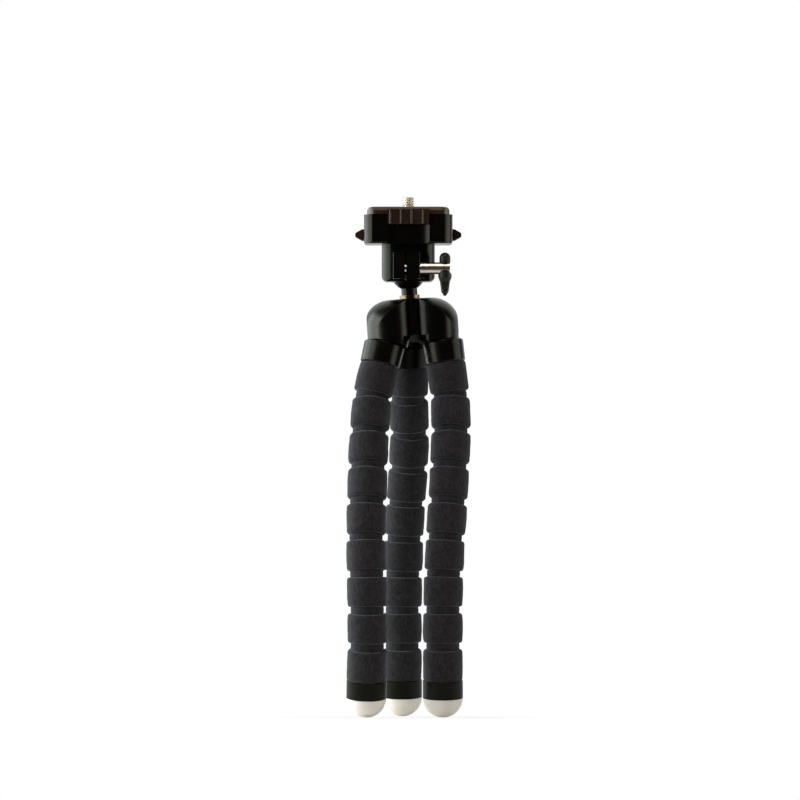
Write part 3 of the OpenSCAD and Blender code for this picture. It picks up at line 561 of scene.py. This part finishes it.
def camera_screw():
    """A turned screw with a rolled 1/4 inch thread and a slotted head."""
    low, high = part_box("camera_screw")
    thread_low = high.z - THREAD_LENGTH
    screw = rolled_thread("camera_screw_threaded", thread_low - 2 * THREAD_PITCH)
    combine(screw, "INTERSECT", thread_blank(thread_low, high.z))
    combine(screw, "UNION", slotted_shank(low.z, thread_low))
    pick(screw)
    bpy.ops.object.shade_smooth_by_angle(angle=SCREW_SMOOTH)
    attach(screw, "camera screw")
    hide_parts("camera_screw")
    return screw


# Finishes

SPECULAR_TINT = (1.0, 0.99, 0.86)


class Value:
    """A socket that can stand in a sum."""

    def __init__(self, finish, socket):
        self.finish = finish
        self.socket = socket

    def maths(self, operation, first, second):
        return self.finish.node("ShaderNodeMath", {"operation": operation}, {0: first, 1: second})

    def __add__(self, other):
        return self.maths("ADD", self, other)

    def __radd__(self, other):
        return self.maths("ADD", other, self)

    def __sub__(self, other):
        return self.maths("SUBTRACT", self, other)

    def __rsub__(self, other):
        return self.maths("SUBTRACT", other, self)

    def __mul__(self, other):
        return self.maths("MULTIPLY", self, other)

    def __rmul__(self, other):
        return self.maths("MULTIPLY", other, self)


class Finish:
    """A material whose nodes are added one by one."""

    def __init__(self, name):
        self.material = bpy.data.materials.new(name)
        self.material.use_nodes = True
        self.tree = self.material.node_tree
        self.tree.nodes.clear()
        self.output = self.tree.nodes.new("ShaderNodeOutputMaterial")
        self.shader = self.tree.nodes.new("ShaderNodeBsdfPrincipled")
        self.tree.links.new(self.shader.outputs[0], self.output.inputs[0])
        self.place = self.node("ShaderNodeTexCoord", out="Object")

    def node(self, kind, settings=None, sockets=None, out=0):
        made = self.tree.nodes.new(kind)
        for name, value in (settings or {}).items():
            setattr(made, name, value)
        for name, value in (sockets or {}).items():
            self.feed(made.inputs[name], value)
        return Value(self, made.outputs[out])

    def feed(self, socket, value):
        if isinstance(value, Value):
            self.tree.links.new(value.socket, socket)
        elif isinstance(value, tuple) and len(value) == 3 and socket.type == "RGBA":
            socket.default_value = (*value, 1)
        else:
            socket.default_value = value

    def set(self, **values):
        names = {
            "colour": "Base Color", "roughness": "Roughness", "metallic": "Metallic",
            "normal": "Normal", "specular": "Specular IOR Level", "specular_tint": "Specular Tint",
            "sheen": "Sheen Weight", "sheen_roughness": "Sheen Roughness",
            "sheen_tint": "Sheen Tint", "milky": "Subsurface Weight",
            "milky_radius": "Subsurface Radius", "milky_scale": "Subsurface Scale",
        }
        for name, value in values.items():
            self.feed(self.shader.inputs[names[name]], value)
        return self.material

    def noise(self, scale, detail=3, roughness=0.5, stretch=(1, 1, 1)):
        place = self.place
        if stretch != (1, 1, 1):
            place = self.node("ShaderNodeMapping", {}, {"Vector": self.place, "Scale": stretch})
        return self.node("ShaderNodeTexNoise", {}, {
            "Vector": place, "Scale": scale, "Detail": detail, "Roughness": roughness,
        })

    def pores(self, scale):
        return self.node("ShaderNodeTexVoronoi", {"feature": "F1"}, {
            "Vector": self.place, "Scale": scale,
        }, out="Distance")

    def spread(self, value, low, high, to_low, to_high):
        return self.node("ShaderNodeMapRange", {}, {
            0: value, 1: low, 2: high, 3: to_low, 4: to_high,
        })

    def patches(self, value, to_low=0, to_high=1):
        """Spread the middle range of a noise, where nearly all of it lies."""
        return self.spread(value, 0.3, 0.7, to_low, to_high)

    def blend(self, share, first, second):
        sockets = {0: share, 6: first, 7: second}
        return self.node("ShaderNodeMix", {"data_type": "RGBA"}, sockets, out=2)

    def bump(self, height, distance, strength):
        return self.node("ShaderNodeBump", {}, {
            "Height": height, "Distance": distance, "Strength": strength,
        })


def foam_finish():
    """Dense charcoal foam with a fine upright grain and open pores."""
    foam = Finish("charcoal foam")
    grain = foam.noise(1100, detail=3, roughness=0.6, stretch=(1, 1, 0.5))
    mottle = foam.noise(260, detail=2)
    pore = foam.spread(foam.pores(1500), 0.0, 0.5, 0, 1)
    tone = foam.spread(0.7 * grain + 0.3 * mottle, 0.36, 0.64, 0, 1)
    height = 0.7 * grain + 0.3 * pore
    return foam.set(
        colour=foam.blend(tone, (0.0090, 0.0074, 0.0078), (0.0275, 0.0252, 0.0265)),
        roughness=foam.spread(pore, 0, 1, 0.97, 0.82),
        normal=foam.bump(height, 0.25 * MM, 0.55),
        sheen=0.26, sheen_roughness=0.5, sheen_tint=(0.84, 0.92, 1.0), specular=0.10,
    )


def moulded_finish(name, dark, light, smooth, dull, grain_depth, specular=0.5):
    """Moulded plastic or rubber with faint flow marks, handling smudges and a fine grain."""
    plastic = Finish(name)
    flow = plastic.noise(45, detail=2)
    smudge = plastic.noise(160, detail=4, roughness=0.65)
    grain = plastic.noise(2600, detail=2)
    return plastic.set(
        colour=plastic.blend(plastic.patches(flow), dark, light),
        roughness=plastic.patches(smudge, smooth, dull),
        normal=plastic.bump(grain, grain_depth, 0.5),
        specular=specular, specular_tint=SPECULAR_TINT,
    )


def ivory_finish():
    """Moulded ivory rubber, a little creamier and duller in patches."""
    rubber = Finish("ivory rubber")
    patch = rubber.noise(120, detail=3)
    speck = rubber.noise(1400, detail=2)
    return rubber.set(
        colour=rubber.blend(rubber.patches(patch), (0.95, 0.915, 0.80), (0.98, 0.955, 0.86)),
        roughness=rubber.patches(patch, 0.5, 0.62),
        normal=rubber.bump(speck, 0.05 * MM, 0.3),
        milky=0.4, milky_radius=(1.0, 0.9, 0.7), milky_scale=3 * MM,
    )


def metal_finish(name, dark, light, smooth, dull, line_depth=0.04 * MM, stretch=(1, 1, 6)):
    """Metal with fine tool lines, drawn out by the stretch of their noise."""
    metal = Finish(name)
    lines = metal.noise(900, detail=2, stretch=stretch)
    stain = metal.noise(200, detail=3)
    return metal.set(
        colour=metal.blend(metal.patches(stain), dark, light),
        roughness=metal.patches(0.6 * lines + 0.4 * stain, smooth, dull),
        metallic=1.0,
        normal=metal.bump(lines, line_depth, 0.35),
    )


FOAM = foam_finish()
GLOSS_BLACK = moulded_finish(
    "gloss black plastic", dark=(0.0016, 0.0017, 0.0010), light=(0.0030, 0.0031, 0.0020),
    smooth=0.22, dull=0.32, grain_depth=0.01 * MM, specular=0.155,
)
FERRULE_BLACK = moulded_finish(
    "satin ferrule plastic", dark=(0.0022, 0.0023, 0.0010), light=(0.0038, 0.0039, 0.0019),
    smooth=0.36, dull=0.48, grain_depth=0.03 * MM, specular=0.10,
)
MATT_BLACK = moulded_finish(
    "matt black plastic", dark=(0.009, 0.009, 0.0066), light=(0.015, 0.015, 0.0115),
    smooth=0.42, dull=0.56, grain_depth=0.05 * MM, specular=0.3,
)
BROWN_BLACK = moulded_finish(
    "brown black plastic", dark=(0.020, 0.0075, 0.0055), light=(0.034, 0.013, 0.009),
    smooth=0.3, dull=0.42, grain_depth=0.02 * MM,
)
PAD_RUBBER = moulded_finish(
    "pad rubber", dark=(0.012, 0.011, 0.011), light=(0.024, 0.022, 0.021),
    smooth=0.75, dull=0.9, grain_depth=0.12 * MM, specular=0.3,
)
NYLON = moulded_finish(
    "nylon", dark=(0.55, 0.54, 0.50), light=(0.66, 0.65, 0.61),
    smooth=0.4, dull=0.55, grain_depth=0.03 * MM,
)
IVORY = ivory_finish()
NICKEL = metal_finish(
    "nickelled steel", dark=(0.58, 0.53, 0.46), light=(0.70, 0.65, 0.58),
    smooth=0.22, dull=0.30, line_depth=0.03 * MM, stretch=(6, 0.3, 0.3),
)
STEEL = metal_finish(
    "zinc plated steel", dark=(0.48, 0.48, 0.48), light=(0.62, 0.62, 0.60), smooth=0.28, dull=0.42,
)
# Painted shade: the washer's brass is kept far darker than brass's own colour, which dims every
# reflection on it.
WASHER_BRASS = metal_finish(
    "darkened brass", dark=(0.085, 0.068, 0.036), light=(0.13, 0.107, 0.062),
    smooth=0.20, dull=0.30, line_depth=0.015 * MM,
)
SCREW_BRASS = metal_finish(
    "pale plated brass", dark=(0.76, 0.71, 0.57), light=(0.84, 0.79, 0.66),
    smooth=0.56, dull=0.68, line_depth=0.02 * MM,
)
WIRE = metal_finish(
    "core wire aluminium", dark=(0.55, 0.55, 0.55), light=(0.68, 0.68, 0.68), smooth=0.35, dull=0.5,
)

NODE_FINISHES = (
    (GLOSS_BLACK, ("hub_shell", "hub_spider", "ball_stem", "clamp_housing", "platform")),
    (MATT_BLACK, ("lock_lever",)),
    (BROWN_BLACK, ("quick_release_plate", "release_button_left", "release_button_right")),
    (PAD_RUBBER, ("plate_pad",)),
    (NYLON, ("ball_retainer_ring", "ball_friction_cup")),
    (NICKEL, ("lock_screw",)),
    (WASHER_BRASS, ("stem_washer",)),
    (SCREW_BRASS, ("camera_screw",)),
    (STEEL, ("hub_bolt", "clamp_nut", "platform_screws", "release_springs")),
)
LEG_FINISHES = (
    (GLOSS_BLACK, ("collar",)),
    (FERRULE_BLACK, ("ferrule",)),
    (IVORY, ("foot",)),
    (WIRE, ("core_wire",)),
    (FOAM, tuple("foam_%d" % (k + 1) for k in range(RINGS))),
)


def give_finish(piece, finish):
    """Put one finish on all of a piece's slots."""
    if not piece.material_slots:
        piece.data.materials.append(finish)
    for slot in piece.material_slots:
        slot.material = finish


for finish, names in NODE_FINISHES:
    for name in names:
        give_finish(nodes[name], finish)
for leg in LEGS:
    for finish, names in LEG_FINISHES:
        for name in names:
            give_finish(nodes[leg + "_" + name], finish)


# Pieces

for ring in foam_legs():
    give_finish(ring, FOAM)
for length in core_wires():
    give_finish(length, WIRE)
give_finish(release_spring("left_release_spring", -1), STEEL)
give_finish(release_spring("right_release_spring", 1), STEEL)
give_finish(camera_screw(), SCREW_BRASS)


# Stage, in metres

STAGE_SIZE = 24
FLOOR_HEIGHT = -0.2 * MM
BACKDROP_PLACE = (0, 9, 4)
DARK_FROM_FLOOR = -0.35
DARK_FROM_BACKDROP = -20
DARK_FADE = 0.3
PAPER_NEAR = 0.15
PAPER_FAR = 0.5
SHADOW_NEAR = 0.035
SHADOW_FAR = 0.08
# Painted shade: the floor is coloured this dark in front, towards the camera, where the studio is
# unlit; it dims reflections and bounce there.
PAINTED_SHADE_PAPER = (0.10, 0.09, 0.085)
PALE_PAPER = (0.72, 0.69, 0.66)


def stage_finish(name, near_share, far_share, painted_shade_before):
    """A white stage: pale and shadow-taking near the object; in front, towards the camera, its paper is
    coloured dark as painted shade, though the camera still sees it white.
    """
    cloth = Finish(name)
    depth = cloth.node("ShaderNodeSeparateXYZ", {}, {0: cloth.place}, out="Y")
    behind = cloth.spread(depth, painted_shade_before, painted_shade_before + DARK_FADE, 0, 1)
    away = cloth.node("ShaderNodeVectorMath", {"operation": "LENGTH"}, {0: cloth.place}, out="Value")
    paper = cloth.spread(away, PAPER_NEAR, PAPER_FAR, 1, behind)
    colour = cloth.blend(paper, PAINTED_SHADE_PAPER, PALE_PAPER)
    cloth.set(colour=colour, roughness=0.9, specular=0.1)
    ray = cloth.node("ShaderNodeLightPath", out="Is Camera Ray")
    glossy = Value(cloth, ray.socket.node.outputs["Is Glossy Ray"])
    through = Value(cloth, ray.socket.node.outputs["Is Transmission Ray"])
    clamped_sum = {"operation": "ADD", "use_clamp": True}
    seen = cloth.node("ShaderNodeMath", clamped_sum, {0: ray + glossy * behind, 1: through})
    share = cloth.spread(away, SHADOW_NEAR, SHADOW_FAR, near_share, far_share)
    glow = cloth.node("ShaderNodeEmission", {}, {"Color": (1.0, 1.0, 1.0), "Strength": 1.0})
    surface = Value(cloth, cloth.shader.outputs[0])
    mixed = cloth.node("ShaderNodeMixShader", {}, {0: share * seen, 1: surface, 2: glow})
    cloth.tree.links.new(mixed.socket, cloth.output.inputs[0])
    return cloth.material


def sheet(name, place, tilt, finish):
    """A large flat sheet of the stage."""
    nothing_selected()
    bpy.ops.mesh.primitive_plane_add(size=STAGE_SIZE, location=place, rotation=(tilt, 0, 0))
    made = bpy.context.object
    made.name = name
    give_finish(made, finish)


def stage():
    """A pale floor and a backdrop behind it."""
    floor_white = stage_finish("floor white", 0.84, 1.0, DARK_FROM_FLOOR)
    backdrop_white = stage_finish("backdrop white", 1.0, 1.0, DARK_FROM_BACKDROP)
    sheet("floor", (0, 0, FLOOR_HEIGHT), 0, floor_white)
    sheet("backdrop", BACKDROP_PLACE, math.radians(90), backdrop_white)


# Lights

MIDDLE = (0, 0, 0.14)
COOL_WHITE = (0.93, 0.98, 1.0)
PLAIN_WHITE = (1.0, 1.0, 0.97)
WARM_WHITE = (1.0, 0.90, 0.86)
AIR_COLOUR = (1.0, 0.68, 0.60, 1)
AIR_STRENGTH = 0.05


def panel(name, place, size, power, colour):
    """A large soft light turned towards the middle of the object."""
    nothing_selected()
    bpy.ops.object.light_add(type="AREA", location=place)
    lamp = bpy.context.object
    lamp.name = name
    lamp.data.shape = "RECTANGLE"
    lamp.data.size = size[0]
    lamp.data.size_y = size[1]
    lamp.data.energy = power
    lamp.data.color = colour
    lamp.rotation_euler = (Vector(MIDDLE) - Vector(place)).to_track_quat("-Z", "Y").to_euler()


def lights():
    """Two broad panels on the left, a low one on the right and a weak one above."""
    panel("left front panel", (-1.11, -0.34, 0.32), size=(1.05, 1.0), power=18, colour=COOL_WHITE)
    panel("left rear panel", (-1.08, 0.42, 0.32), size=(0.9, 1.0), power=15, colour=COOL_WHITE)
    panel("right panel", (1.15, -0.15, 0.27), size=(0.95, 0.36), power=4.6, colour=PLAIN_WHITE)
    panel("top panel", (0.0, -0.5, 1.3), size=(0.9, 0.9), power=6, colour=WARM_WHITE)


def air():
    """Faint warm light from all round, which the camera sees as white."""
    world = bpy.data.worlds.new("studio air")
    world.use_nodes = True
    tree = world.node_tree
    faint = tree.nodes["Background"]
    faint.inputs["Color"].default_value = AIR_COLOUR
    faint.inputs["Strength"].default_value = AIR_STRENGTH
    white = tree.nodes.new("ShaderNodeBackground")
    white.inputs["Color"].default_value = (1, 1, 1, 1)
    ray = tree.nodes.new("ShaderNodeLightPath")
    choice = tree.nodes.new("ShaderNodeMixShader")
    tree.links.new(ray.outputs["Is Camera Ray"], choice.inputs[0])
    tree.links.new(faint.outputs[0], choice.inputs[1])
    tree.links.new(white.outputs[0], choice.inputs[2])
    tree.links.new(choice.outputs[0], tree.nodes["World Output"].inputs[0])
    bpy.context.scene.world = world


# Camera

PICTURE_PIXELS = 800
PIXEL = 0.52 * MM
SENSOR_WIDTH = 36
CAMERA_DISTANCE = 6
CAMERA_SIDE = -4.3 * MM
CAMERA_HEIGHT = 60 * MM
AIM_HEIGHT = 164.8 * MM
CLIP_START = 0.05
CLIP_END = 50


def viewpoint():
    """A long lens in front, near the floor, framed as the photograph is."""
    place = Vector((CAMERA_SIDE, -CAMERA_DISTANCE, CAMERA_HEIGHT))
    aim = Vector((CAMERA_SIDE, 0, AIM_HEIGHT))
    nothing_selected()
    bpy.ops.object.camera_add(location=place)
    camera = bpy.context.object
    camera.rotation_euler = (aim - place).to_track_quat("-Z", "Y").to_euler()
    camera.data.sensor_width = SENSOR_WIDTH
    camera.data.lens = SENSOR_WIDTH * CAMERA_DISTANCE / (PICTURE_PIXELS * PIXEL)
    camera.data.clip_start = CLIP_START
    camera.data.clip_end = CLIP_END
    bpy.context.scene.camera = camera


stage()
lights()
air()
viewpoint()
bpy.context.scene.view_settings.view_transform = "Standard"
